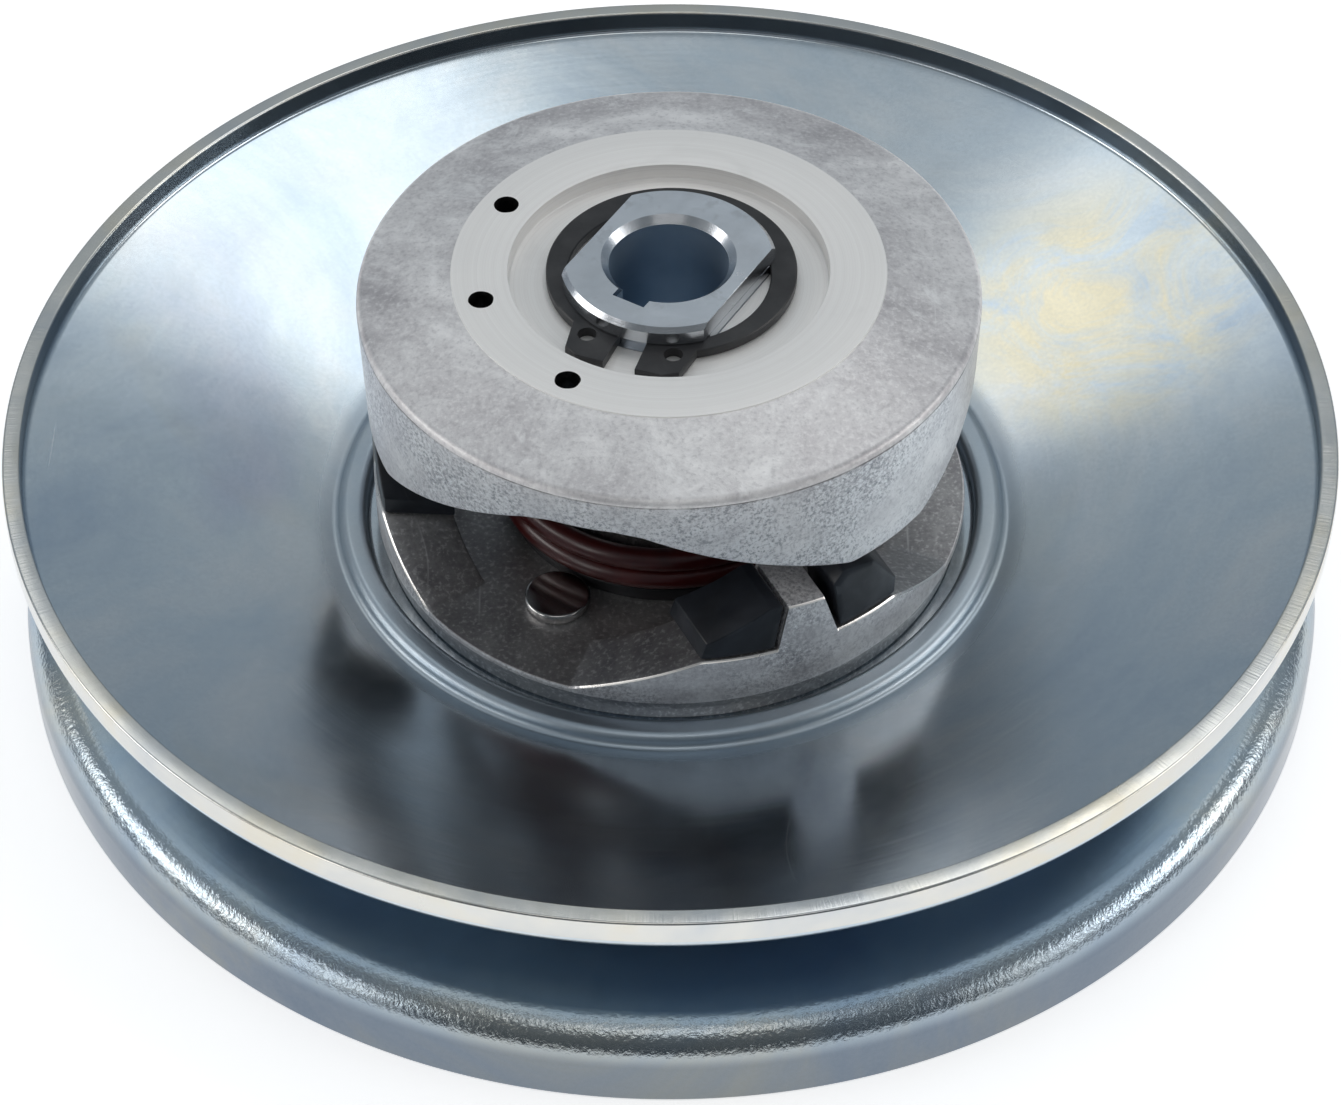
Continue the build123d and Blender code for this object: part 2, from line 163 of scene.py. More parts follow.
def smooth3(table, lo, width):
    """Three-fold azimuth table with its corners rounded over a width in degrees."""
    def f(a):
        tot = 0
        for k in range(-3, 4):
            b = (a + k * width / 6 - lo) % 120 + lo
            tot += interp(table, b)
        return tot / 7
    return f


# ------------------------------------------------------- material helpers --
class Mat:
    """Small builder for a node material around one Principled shader."""

    def __init__(self, name, base, metallic=1.0, rough=0.3, **k):
        self.m = bpy.data.materials.new(name)
        self.m.use_nodes = True
        self.t = self.m.node_tree
        self.n = self.t.nodes
        self.b = self.n["Principled BSDF"]
        self.b.inputs["Base Color"].default_value = (*base, 1)
        self.b.inputs["Metallic"].default_value = metallic
        self.b.inputs["Roughness"].default_value = rough
        for key, v in k.items():
            self.b.inputs[key.replace("_", " ")].default_value = v
        self.tc = self.n.new("ShaderNodeTexCoord")
        self.height = []

    def link(self, a, b):
        self.t.links.new(a, b)

    def coords(self, scale=(1, 1, 1), rot=(0, 0, 0), loc=(0, 0, 0)):
        mp = self.n.new("ShaderNodeMapping")
        mp.inputs["Scale"].default_value = scale
        mp.inputs["Rotation"].default_value = rot
        mp.inputs["Location"].default_value = loc
        self.link(self.tc.outputs["Object"], mp.inputs["Vector"])
        return mp.outputs["Vector"]

    def noise(self, scale, detail=4, rough=0.55, vec=None, dist=0.0, lac=2.0, seed=0.0):
        nd = self.n.new("ShaderNodeTexNoise")
        nd.inputs["Scale"].default_value = scale
        nd.inputs["Detail"].default_value = detail
        nd.inputs["Roughness"].default_value = rough
        nd.inputs["Distortion"].default_value = dist
        nd.inputs["Lacunarity"].default_value = lac
        v = vec if vec is not None else self.coords(loc=(seed, seed * 0.37, seed * 0.71))
        self.link(v, nd.inputs["Vector"])
        return nd.outputs["Fac"]

    def voronoi(self, scale, vec=None, feature="F1", out="Distance", rnd=1.0):
        nd = self.n.new("ShaderNodeTexVoronoi")
        nd.feature = feature
        nd.inputs["Scale"].default_value = scale
        nd.inputs["Randomness"].default_value = rnd
        self.link(vec if vec is not None else self.coords(), nd.inputs["Vector"])
        return nd.outputs[out]

    def ramp(self, fac, stops):
        nd = self.n.new("ShaderNodeValToRGB")
        cr = nd.color_ramp
        while len(cr.elements) > 1:
            cr.elements.remove(cr.elements[0])
        for i, (p, c) in enumerate(stops):
            el = cr.elements[0] if i == 0 else cr.elements.new(p)
            el.position = p
            el.color = (*c, 1) if isinstance(c, (tuple, list)) else (c, c, c, 1)
        self.link(fac, nd.inputs["Fac"])
        return nd.outputs["Color"]

    def range(self, fac, lo, hi, a=0.0, b=1.0, smooth=False):
        nd = self.n.new("ShaderNodeMapRange")
        nd.interpolation_type = "SMOOTHSTEP" if smooth else "LINEAR"
        for i, v in ((1, lo), (2, hi), (3, a), (4, b)):
            nd.inputs[i].default_value = v
        self.link(fac, nd.inputs[0])
        return nd.outputs[0]

    def math(self, op, a, b=None, c=None):
        nd = self.n.new("ShaderNodeMath")
        nd.operation = op
        for i, v in enumerate((a, b, c)):
            if v is None:
                continue
            if isinstance(v, (int, float)):
                nd.inputs[i].default_value = v
            else:
                self.link(v, nd.inputs[i])
        return nd.outputs[0]

    def mix(self, fac, a, b, blend="MIX"):
        nd = self.n.new("ShaderNodeMix")
        nd.data_type = "RGBA"
        nd.blend_type = blend
        for key, v in ((0, fac), (6, a), (7, b)):
            if isinstance(v, (int, float)):
                nd.inputs[key].default_value = v
            elif isinstance(v, tuple):
                nd.inputs[key].default_value = (*v, 1) if len(v) == 3 else v
            else:
                self.link(v, nd.inputs[key])
        return nd.outputs[2]

    def polar(self):
        """(radius in mm, azimuth in turns, height in mm) of the point."""
        sep = self.n.new("ShaderNodeSeparateXYZ")
        self.link(self.tc.outputs["Object"], sep.inputs[0])
        x, y, z = sep.outputs
        r2 = self.math("ADD", self.math("MULTIPLY", x, x), self.math("MULTIPLY", y, y))
        r = self.math("MULTIPLY", self.math("SQRT", r2), 1000.0)
        th = self.math("ARCTAN2", y, x)
        return r, th, self.math("MULTIPLY", z, 1000.0)

    def combine(self, x, y, z):
        nd = self.n.new("ShaderNodeCombineXYZ")
        for i, v in enumerate((x, y, z)):
            if isinstance(v, (int, float)):
                nd.inputs[i].default_value = v
            else:
                self.link(v, nd.inputs[i])
        return nd.outputs[0]

    def turned(self, scale=9.0, detail=3, seed=0.0):
        """Noise that only varies with radius and height: fine lathe lines."""
        r, th, z = self.polar()
        wob = self.math("MULTIPLY", self.math("SINE", th), 0.02)
        return self.noise(scale, detail, 0.7, vec=self.combine(self.math("ADD", r, wob), seed, z))

    def base(self, out):
        self.link(out, self.b.inputs["Base Color"])

    def rough(self, out):
        self.link(out, self.b.inputs["Roughness"])

    def bump(self, height, strength=0.2, dist=0.0002):
        nd = self.n.new("ShaderNodeBump")
        nd.inputs["Strength"].default_value = strength
        nd.inputs["Distance"].default_value = dist
        self.link(height, nd.inputs["Height"])
        prev = self.b.inputs["Normal"].links
        if prev:
            self.link(prev[0].from_socket, nd.inputs["Normal"])
        self.link(nd.outputs[0], self.b.inputs["Normal"])

    def scratches(self, scale, width, seed, angle, amount=0.55):
        """Thin sparse straight scratches: stretched noise cut to a narrow band, broken up by a mask."""
        v = self.coords(scale=(1, 0.02, 1), rot=(0, 0, radians(angle)), loc=(seed, 0, seed))
        band = self.math("ABSOLUTE", self.math("SUBTRACT", self.noise(scale, 1, 0.4, vec=v), 0.5))
        line = self.range(band, 0.0, width, 1.0, 0.0)
        mask = self.range(self.noise(38, 2, 0.5, seed=seed + 3), amount, amount + 0.08, 0, 1)
        return self.math("MULTIPLY", line, mask)


# --------------------------------------------------------------- materials --
def zinc_sheet(name, lower=False):
    """Blue-bright zinc plate on pressed sheet: soft reflections, faint clouds and tints."""
    m = Mat(name, (0.6, 0.65, 0.7), 1.0, 0.24)
    r, th, z = m.polar()
    cloud = m.noise(17, 6, 0.66, seed=1.3, dist=0.9)
    if lower:
        # painted shade: the belt face down in the groove (r under 80) and the lower outer wall (z under 6.2) take
        # darker colours than the shoulder, standing in for the shade there
        face = m.ramp(cloud, [(0.30, (0.17, 0.23, 0.32)), (0.5, (0.24, 0.30, 0.36)), (0.7, (0.31, 0.35, 0.38))])
        edge = m.ramp(cloud, [(0.30, (0.30, 0.39, 0.50)), (0.5, (0.42, 0.49, 0.54)), (0.7, (0.56, 0.56, 0.50))])
        wall = m.ramp(cloud, [(0.30, (0.13, 0.18, 0.25)), (0.5, (0.19, 0.23, 0.28)), (0.7, (0.27, 0.28, 0.26))])
        edge = m.mix(m.range(z, 6.2, 9.4, 0.0, 1.0, True), wall, edge)
        col = m.mix(m.range(r, 80.0, 86.5, 0.0, 1.0, True), face, edge)
    else:
        col = m.ramp(cloud, [(0.30, (0.44, 0.53, 0.63)), (0.50, (0.57, 0.65, 0.71)), (0.66, (0.68, 0.72, 0.74))])
        # straw-coloured passivation stain on one side
        v = m.coords(loc=(-0.062, -0.031, -0.025))
        ln = m.n.new("ShaderNodeVectorMath")
        ln.operation = "LENGTH"
        m.link(v, ln.inputs[0])
        near = m.range(ln.outputs["Value"], 0.010, 0.030, 1.0, 0.0, True)
        near = m.math("MULTIPLY", near, m.range(m.noise(55, 5, 0.65, seed=4.0, dist=1.4), 0.36, 0.56, 0.0, 0.95))
        col = m.mix(near, col, (0.74, 0.68, 0.50))
    warm = m.range(m.noise(23, 3, 0.5, seed=7.7, dist=0.8), 0.60, 0.72, 0.0, 0.32)
    col = m.mix(warm, col, (0.62, 0.60, 0.50) if not lower else (0.42, 0.43, 0.40))
    violet = m.range(m.noise(15, 3, 0.5, seed=23.1, dist=0.6), 0.58, 0.74, 0.0, 0.40)
    col = m.mix(violet, col, (0.46, 0.47, 0.63) if not lower else (0.30, 0.32, 0.50))
    speck = m.range(m.voronoi(300), 0.0, 0.04, 1.0, 0.0)
    speck = m.math("MULTIPLY", speck, m.range(m.noise(90, 2, 0.5, seed=5.0), 0.60, 0.66, 0, 0.5))
    col = m.mix(speck, col, (0.22, 0.24, 0.28))
    grain = m.noise(1700, 2, 0.6, seed=8.3)
    col = m.mix(m.range(grain, 0.35, 0.65, 0.0, 0.10), col, (0.30, 0.34, 0.40))
    sc = m.math("ADD", m.scratches(60, 0.003, 4.0, 35, 0.66), m.scratches(52, 0.003, 9.0, -52, 0.66))
    col = m.mix(m.math("MULTIPLY", sc, 0.30), col, (0.85, 0.87, 0.9))
    if not lower:
        # painted shade: a dark band on the inside of the rim (r above 87.2, z above 31.8), standing in for the shade
        # on the rim's inner wall
        rim_inner_painted_shade = m.math("MULTIPLY", m.range(r, 87.2, 87.9, 0.0, 1.0, True), m.range(z, 31.8, 32.6, 0.0, 1.0, True))
        col = m.mix(m.math("MULTIPLY", rim_inner_painted_shade, 0.72), col, (0.10, 0.12, 0.14))
        # painted shade: the bead round the cam (r 41.5 to 50.5) is darkened, standing in for the shade round the cam's
        # foot
        bead_painted_shade = m.math("MULTIPLY", m.range(r, 41.5, 42.6, 0.0, 1.0, True), m.range(r, 47.5, 50.5, 1.0, 0.0, True))
        col = m.mix(m.math("MULTIPLY", bead_painted_shade, 0.42), col, (0.30, 0.36, 0.42))
    m.base(col)
    ro = m.range(m.noise(26, 6, 0.68, seed=11.0, dist=0.6), 0.3, 0.7, 0.15, 0.26)
    ro = m.math("ADD", ro, m.math("MULTIPLY", sc, 0.12))
    if not lower:
        bead = m.math("MULTIPLY", m.range(r, 41.5, 42.6, 0.0, 1.0, True), m.range(r, 47.5, 50.5, 1.0, 0.0, True))
        ro = m.math("ADD", ro, m.math("MULTIPLY", bead, 0.18))
    m.rough(ro)
    m.bump(grain, 0.06, 0.00003)
    # slow unevenness of the pressing, and faint forming rings
    m.bump(m.noise(40, 2, 0.5, seed=6.0), 0.10, 0.0006)
    m.bump(m.turned(0.30, 3, 4.0), 0.05, 0.0003)
    if lower:
        # orange peel where the sheet was stretched over the shoulder
        peel = m.noise(1500, 3, 0.6, seed=41.0)
        zone = m.range(z, 6.0, 9.5, 0.0, 1.0, True)
        zone = m.math("MULTIPLY", zone, m.range(r, 85.0, 87.0, 0.0, 1.0, True))
        m.bump(m.math("MULTIPLY", peel, zone), 0.5, 0.00020)
    m.bump(sc, -0.1, 0.00004)
    return m.m


def rim_metal():
    """The sheared top edge and outer wall of the rim: bright, with a warm cast and fine vertical nicks."""
    m = Mat("zinc_rim", (0.78, 0.77, 0.74), 1.0, 0.2)
    col = m.ramp(m.noise(45, 4, 0.6, seed=2.2, dist=0.6), [(0.3, (0.60, 0.62, 0.63)), (0.5, (0.70, 0.695, 0.66)), (0.68, (0.72, 0.68, 0.58))])
    m.base(col)
    m.rough(m.range(m.noise(150, 4, 0.6, seed=8.0), 0.3, 0.7, 0.14, 0.28))
    r, th, z = m.polar()
    nick = m.noise(1.0, 2, 0.6, vec=m.combine(m.math("MULTIPLY", th, 260.0), m.math("MULTIPLY", z, 0.12), 3.0))
    m.bump(nick, 0.12, 0.0001)
    m.bump(m.noise(700, 3, 0.6, seed=4.0), 0.10, 0.00006)
    return m.m


def cast_aluminium(name, tint=1.0, side=False):
    """Die-cast skin: mottled lilac-grey clouds, fine speckle, flow marks and small dings."""
    m = Mat(name, (0.6, 0.59, 0.61), 0.5 if tint >= 1.0 else 0.85, 0.42)
    big = m.noise(38, 6, 0.65, seed=3.1, dist=1.1)
    small = m.noise(190, 8, 0.72, seed=9.4, dist=0.6)
    mott = m.math("ADD", m.math("MULTIPLY", big, 0.68), m.math("MULTIPLY", small, 0.32))
    col = m.ramp(mott, [(0.36, tuple(c * tint for c in (0.44, 0.425, 0.44))), (0.45, tuple(c * tint for c in (0.58, 0.565, 0.575))),
                        (0.53, tuple(min(1, c * tint) for c in (0.70, 0.69, 0.695))), (0.62, tuple(min(1, c * tint) for c in (0.88, 0.87, 0.87)))])
    grain = m.noise(1500, 3, 0.6, seed=14.0)
    col = m.mix(m.range(grain, 0.54, 0.66, 0.0, 0.28), col, tuple(c * tint for c in (0.28, 0.27, 0.29)))
    col = m.mix(m.range(grain, 0.46, 0.36, 0.0, 0.35), col, (0.95, 0.94, 0.94))
    pale = m.range(m.noise(75, 6, 0.75, seed=31.0, dist=1.8), 0.57, 0.66, 0.0, 0.45)
    col = m.mix(pale, col, tuple(min(1, c * tint) for c in (0.94, 0.93, 0.93)))
    ro = m.range(mott, 0.36, 0.62, 0.34, 0.50)
    if side:
        # crystalline, rubbed-bright sparkle in patches, which are also a little smoother; then a dark line of painted
        # shade just under the top edge
        r, th, z = m.polar()
        patch = m.range(m.noise(60, 4, 0.6, seed=19.0, dist=0.8), 0.42, 0.60, 0.15, 1.0)
        sp = m.noise(1900, 4, 0.75, seed=3.7)
        col = m.mix(m.math("MULTIPLY", m.range(sp, 0.50, 0.60), patch), col, (0.97, 0.97, 0.98))
        col = m.mix(m.math("MULTIPLY", m.range(sp, 0.47, 0.40, 0.0, 0.8), patch), col, (0.30, 0.31, 0.34))
        ro = m.math("SUBTRACT", ro, m.math("MULTIPLY", patch, 0.10))
        m.bump(m.math("MULTIPLY", sp, patch), 0.55, 0.00014)
        # painted shade: a broken dark line near z 56.15, under the rounded top edge, standing in for the shade where
        # the edge turns down
        line = m.math("ABSOLUTE", m.math("SUBTRACT", z, m.math("ADD", 56.15, m.math("MULTIPLY", m.noise(90, 4, 0.7, seed=2.0), 0.5))))
        line = m.math("MULTIPLY", m.range(line, 0.10, 0.36, 1.0, 0.0, True), m.range(m.noise(130, 3, 0.6, seed=12.0), 0.35, 0.55, 0.35, 1.0))
        col = m.mix(m.math("MULTIPLY", line, 0.85), col, (0.10, 0.09, 0.085))
    if side:
        # painted shade: near-black at the foot of the wall (full below z 18.9, gone by 19.9), standing in for the
        # shade in the narrow gap where the cam sits on the sheet
        col = m.mix(m.range(z, 18.9, 19.9, 0.92, 0.0, True), col, (0.012, 0.012, 0.012))
    sc = m.math("ADD", m.scratches(46, 0.004, 2.0, 12, 0.60), m.scratches(60, 0.004, 17.0, -68, 0.60))
    col = m.mix(m.math("MULTIPLY", sc, 0.5), col, (0.86, 0.86, 0.86))
    m.base(col)
    m.rough(m.math("SUBTRACT", ro, m.math("MULTIPLY", pale, 0.06)))
    m.bump(grain, 0.22, 0.00008)
    m.bump(small, 0.22, 0.0004)
    pit = m.range(m.voronoi(300), 0.0, 0.05, 0.0, 1.0)
    m.bump(pit, 0.3, 0.00015)
    m.bump(sc, -0.2, 0.00008)
    return m.m


def machined(name, base=(0.78, 0.765, 0.755), rough=0.3, strength=0.2):
    """Turned surface: fine concentric lines in its colour and bump."""
    m = Mat(name, base, 1.0, rough)
    lines = m.turned(11.0, 4, 1.0)
    col = m.mix(m.range(lines, 0.3, 0.7, 0.0, 1.0), tuple(c * 0.90 for c in base), tuple(min(1, c * 1.06) for c in base))
    dirt = m.range(m.noise(70, 4, 0.6, seed=12.0, dist=0.8), 0.60, 0.76, 0.0, 0.28)
    col = m.mix(dirt, col, tuple(c * 0.72 for c in base))
    sc = m.math("ADD", m.scratches(50, 0.005, 5.0, 20, 0.58), m.scratches(44, 0.004, 8.0, -75, 0.58))
    col = m.mix(m.math("MULTIPLY", sc, 0.4), col, (0.95, 0.95, 0.95))
    m.base(col)
    m.rough(m.range(m.noise(120, 4, 0.6, seed=4.4), 0.3, 0.7, rough - 0.04, rough + 0.06))
    m.bump(lines, strength, 0.00004)
    m.bump(m.noise(500, 2, 0.5, seed=8.8), 0.06, 0.00004)
    return m.m


def post_metal(name="zinc_post", base=(0.72, 0.75, 0.79), rough=0.2):
    m = Mat(name, base, 1.0, rough)
    lines = m.turned(7.0, 3, 2.0)
    cloud = m.noise(95, 4, 0.6, seed=6.1, dist=0.7)
    col = m.mix(m.range(cloud, 0.35, 0.7), tuple(c * 0.9 for c in base), tuple(min(1, c * 1.08) for c in base))
    wear = m.range(m.noise(300, 3, 0.6, seed=2.9), 0.60, 0.70, 0, 0.3)
    col = m.mix(wear, col, (0.45, 0.46, 0.48))
    m.base(col)
    m.rough(m.range(m.noise(160, 4, 0.6, seed=1.4), 0.3, 0.7, rough - 0.03, rough + 0.08))
    m.bump(lines, 0.12, 0.00005)
    m.bump(m.noise(600, 2, 0.5, seed=3.3), 0.08, 0.00005)
    return m.m


def bore_metal():
    m = Mat("zinc_bore", (0.28, 0.36, 0.46), 1.0, 0.46)
    col = m.ramp(m.noise(80, 3, 0.5, seed=5.5), [(0.35, (0.40, 0.52, 0.64)), (0.65, (0.58, 0.68, 0.78))])
    m.base(col)
    m.bump(m.turned(5.0, 3, 7.0), 0.15, 0.00006)
    return m.m


def black_clip():
    m = Mat("clip_black", (0.020, 0.020, 0.022), 0.0, 0.42)
    m.b.inputs["Specular IOR Level"].default_value = 0.5
    col = m.mix(m.range(m.noise(160, 4, 0.6, seed=1.0), 0.4, 0.7), (0.014, 0.014, 0.016), (0.036, 0.036, 0.038))
    m.base(col)
    m.rough(m.range(m.noise(260, 3, 0.6, seed=2.0), 0.3, 0.7, 0.34, 0.5))
    m.bump(m.noise(900, 3, 0.6, seed=3.0), 0.2, 0.00005)
    return m.m


def black_plastic(name="plastic_black", base=(0.013, 0.015, 0.020)):
    m = Mat(name, base, 0.0, 0.40)
    m.b.inputs["Specular IOR Level"].default_value = 0.32
    col = m.mix(m.range(m.noise(140, 4, 0.6, seed=4.0, dist=0.5), 0.35, 0.7), tuple(c * 0.7 for c in base), tuple(c * 1.7 for c in base))
    sc = m.math("ADD", m.scratches(120, 0.01, 3.0, 60, 0.5), m.scratches(110, 0.01, 6.0, -20, 0.5))
    col = m.mix(m.math("MULTIPLY", sc, 0.25), col, (0.07, 0.075, 0.085))
    m.base(col)
    m.rough(m.range(m.noise(330, 3, 0.6, seed=6.0), 0.3, 0.7, 0.28, 0.46))
    m.bump(m.noise(1100, 3, 0.6, seed=3.0), 0.14, 0.00005)
    m.bump(m.noise(130, 2, 0.5, seed=9.0), 0.10, 0.0003)
    return m.m


def red_paint():
    # the red is kept very dark: partly the coil's own deep red, partly painted shade for the shade the coil sits in
    m = Mat("paint_red", (0.12, 0.008, 0.008), 0.0, 0.34)
    m.b.inputs["Coat Weight"].default_value = 0.35
    m.b.inputs["Coat Roughness"].default_value = 0.22
    col = m.mix(m.range(m.noise(120, 4, 0.6, seed=1.0, dist=0.6), 0.35, 0.7), (0.035, 0.003, 0.003), (0.075, 0.006, 0.006))
    chip = m.range(m.noise(420, 3, 0.6, seed=7.0), 0.66, 0.70, 0.0, 0.6)
    col = m.mix(chip, col, (0.08, 0.02, 0.02))
    m.base(col)
    m.rough(m.range(m.noise(200, 3, 0.6, seed=2.0), 0.3, 0.7, 0.28, 0.44))
    m.bump(m.noise(260, 2, 0.5, seed=5.0), 0.12, 0.00012)
    return m.m


def bright_rivet():
    m = Mat("rivet_bright", (0.80, 0.79, 0.78), 1.0, 0.18)
    m.base(m.mix(m.range(m.noise(200, 3, 0.6, seed=1.0), 0.4, 0.7), (0.50, 0.49, 0.48), (0.62, 0.61, 0.60)))
    m.rough(m.range(m.noise(240, 3, 0.6, seed=2.0), 0.3, 0.7, 0.15, 0.24))
    m.bump(m.noise(260, 2, 0.5, seed=3.0), 0.05, 0.0001)
    return m.m


def bronze():
    m = Mat("bronze_sintered", (0.52, 0.36, 0.18), 1.0, 0.42)
    m.base(m.mix(m.range(m.noise(900, 3, 0.7, seed=1.0), 0.4, 0.6), (0.42, 0.28, 0.14), (0.60, 0.43, 0.22)))
    m.bump(m.noise(1200, 3, 0.6, seed=3.0), 0.2, 0.00006)
    return m.m


zinc_upper = zinc_sheet("zinc_sheet_upper")
zinc_lower = zinc_sheet("zinc_sheet_lower", True)
zinc_rim = rim_metal()
cast_top = cast_aluminium("cast_top", 1.08)
cast_side = cast_aluminium("cast_side", 1.12, True)
# painted shade: the movable cam's floor is a darkened copy of the casting (tint 0.58 against about 1.1 elsewhere),
# standing in for the shade down among the towers and the spring
cast_floor_painted_shade = cast_aluminium("cast_floor_painted_shade", 0.58)
cast_wall = cast_aluminium("cast_wall", 1.15, True)
# painted highlight: a bright copy of the turned finish for the chamfer round the movable cam's wall top, standing in
# for the thin highlight that edge catches
chamfer_painted_highlight = machined("chamfer_painted_highlight", (0.88, 0.86, 0.83), 0.28, 0.05)
turned_al = machined("turned_aluminium", (0.96, 0.935, 0.915), 0.42)
turned_al.node_tree.nodes["Principled BSDF"].inputs["Metallic"].default_value = 0.35
# painted shade: the walls of the three drilled holes are near-black, standing in for the shadow deep inside them
hole_painted_shade = Mat("drilled_hole_painted_shade", (0.05, 0.05, 0.05), 1.0, 0.5)
hole_painted_shade.base(hole_painted_shade.mix(hole_painted_shade.range(hole_painted_shade.noise(600, 3, 0.6), 0.35, 0.65), (0.03, 0.03, 0.03), (0.10, 0.10, 0.10)))
hole_painted_shade.bump(hole_painted_shade.noise(900, 3, 0.6), 0.3, 0.0001)
hole_painted_shade = hole_painted_shade.m
zinc_post = post_metal()
zinc_hub = post_metal("zinc_hub_ring", (0.62, 0.65, 0.70), 0.26)
zinc_bore = bore_metal()
clip_mat = black_clip()
plastic = black_plastic()
nylon = black_plastic("nylon_black", (0.016, 0.016, 0.018))
red = red_paint()
rivet_mat = bright_rivet()
bronze_mat = bronze()
steel_sleeve = machined("turned_steel", (0.52, 0.53, 0.55), 0.32)


# ------------------------------------------------------------- dimensions --
RIM_R, SHEET = 90.5, 2.4
TOWER_AZ = -64.0
FLAT_AZ, FLAT_D = -31.0, 10.8
KEY_AZ, KEY_HALF, KEY_R = -122.0, 2.38, 10.07
BORE_R, POST_R, POST_TOP = 7.9375, 14.25, 61.9


# ------------------------------------------------------------ fixed sheave --
slope_fix = 0.9 / 56.0
z_out = 12.4 - slope_fix * (RIM_R - 28)
fixed_profile = rounded([
    (17.05, 10.0, 0), (17.05, 12.4, 0), (28, 12.4, 3), (RIM_R, z_out, 5.5), (RIM_R, 0.0, 0.45), (RIM_R - SHEET, 0.0, 0.45),
    (RIM_R - SHEET, z_out - SHEET, 3.1), (28, 10.0, 3)], 12)
fixed_sheave = lathe("fixed_sheave_plate", fixed_profile, [zinc_lower], n=512)

# --------------------------------------------------------- movable sheave --
bead_foot = (46.4, 17.0)
zr = 31.6
k = (zr - bead_foot[1]) / (RIM_R - SHEET - bead_foot[0])
under = SHEET * sqrt(1 + k * k)
zb = bead_foot[1] + k * (RIM_R - bead_foot[0]) - under
rk = bead_foot[0] + (13.6 - bead_foot[1] + under) / k
mov_profile = rounded([
    (18.25, 13.6, 0), (18.25, 16.0, 0), (42.3, 16.0, 0.6), (42.3, 19.0, 1.3), (45.8, 19.0, 1.35), (46.4, 17.0, 0.85),
    (RIM_R - SHEET, zr, 0.9), (RIM_R - SHEET, 35.0, 0.3), (RIM_R, 35.0, 0.4), (RIM_R, zb, 2.9), (rk, 13.6, 2.0)], 10)


def rim_zone(r, z, a):
    return 1 if (r > RIM_R - 0.05 or z > 34.6) and z > 30 else 0


movable_sheave = lathe("movable_sheave_plate", mov_profile, [zinc_upper, zinc_rim], n=512, pick=rim_zone)

# -------------------------------------------------------------- fixed cam --
NOTCH = [(-158.0, 38.4), (-156.5, 38.4), (-117.0, 50.4), (-112.0, 51.2), (-100.0, 51.2), (-95.0, 50.6), (-55.0, 38.4), (-38.0, 38.4)]
skirt_edge = smooth3(NOTCH, -158.0, 1.6)


def d_radius(a, r, d):
    c = abs(cos(radians(a - FLAT_AZ)))
    return min(r, d / c) if c > 1e-6 else r


def cam_profile(a):
    ze = skirt_edge(a)
    rin = d_radius(a, POST_R + 0.08, FLAT_D + 0.07)
    ro = 40.9 + 0.5 * (ze - 38.4) / 18.8
    return rounded([
        (rin, 47.8, 0), (18.5, 47.8, 0.5), (18.5, 54.5, 0.9), (31.2, 54.5, 1.4), (31.2, ze, 0.35), (ro, ze, 0.55),
        (41.4, 57.15, 1.35), (28.75, 60.02, 0), (28.7, 60.2, 0.05), (21.2, 60.2, 0.12), (21.2, 57.8, 0.25), (rin, 57.8, 0)], 6)


def cam_zone(r, z, a):
    if r < 28.76 and z > 57.5:
        return 1                       # turned ring, recess wall and floor
    if z < 56.4 and r > 40.0:
        return 2                       # flanks
    return 0


corners = [FLAT_AZ + o + s * degrees(acos((FLAT_D + 0.07) / (POST_R + 0.08))) for o in (0, 180) for s in (-1, 1)]
cam_az = sorted(set([round((i * 0.6) % 360, 4) for i in range(600)] + [round(c % 360, 4) for c in corners]))
fixed_cam = lathe("fixed_cam_casting", cam_profile, [cast_top, turned_al, cast_side], azimuths=cam_az, pick=cam_zone, sharp=35)
tools = []
for i, a in enumerate((149.0, 194.0, 239.0)):
    cx, cy = 25.3 * cos(radians(a)), 25.3 * sin(radians(a))
    ring = []
    for q in range(40):
        t = 2 * pi * q / 40
        rr = 1.675 + 0.07 * noise.noise(Vector((cos(t) * 1.6 + i * 5, sin(t) * 1.6, 0.3)))
        ring.append((cx + rr * cos(t), cy + rr * sin(t)))
    verts = [(x, y, 52) for x, y in ring] + [(x, y, 62) for x, y in ring]
    faces = [tuple(range(39, -1, -1)), tuple(range(40, 80))] + [(q, (q + 1) % 40, 40 + (q + 1) % 40, 40 + q) for q in range(40)]
    tools.append(mesh_object(f"tool_{i}", verts, faces, [hole_painted_shade], sharp=0))
cut(fixed_cam, join_meshes("tool", tools))
fixed_cam.data.set_sharp_from_angle(angle=radians(35))

# -------------------------------------------------------------------- post --
def key_radius(a, r0):
    d = (a - KEY_AZ + 180) % 360 - 180
    ad = abs(d)
    lim = degrees(atan2(KEY_HALF, KEY_R))
    lim2 = degrees(asin(KEY_HALF / r0))
    if ad <= lim:
        return KEY_R / cos(radians(ad))
    if ad <= lim2:
        return KEY_HALF / sin(radians(ad))
    return r0


def post_profile(a):
    rt = d_radius(a, POST_R, FLAT_D)
    rg = min(rt, 13.4)
    rb = key_radius(a, BORE_R)
    rc = key_radius(a, BORE_R + 1.0)
    edge = POST_R - 0.55
    return [(rb, 1.0), (rb, POST_TOP - 1.0), (rc, POST_TOP), (min(rt, edge) - 0.04, POST_TOP), (rt, POST_TOP - max(0.05, (rt - edge) * 1.2)), (rt, 59.42), (rt - 0.08, 59.3), (rg - 0.02, 59.3),
            (rg - 0.02, 57.82), (rt, 57.82), (rt, 47.8), (POST_R, 47.8), (POST_R, 0.5), (POST_R - 0.5, 0.0), (rc, 0.0)]


def post_zone(r, z, a):
    return 1 if r < 10.3 and z < POST_TOP - 1.2 else 0


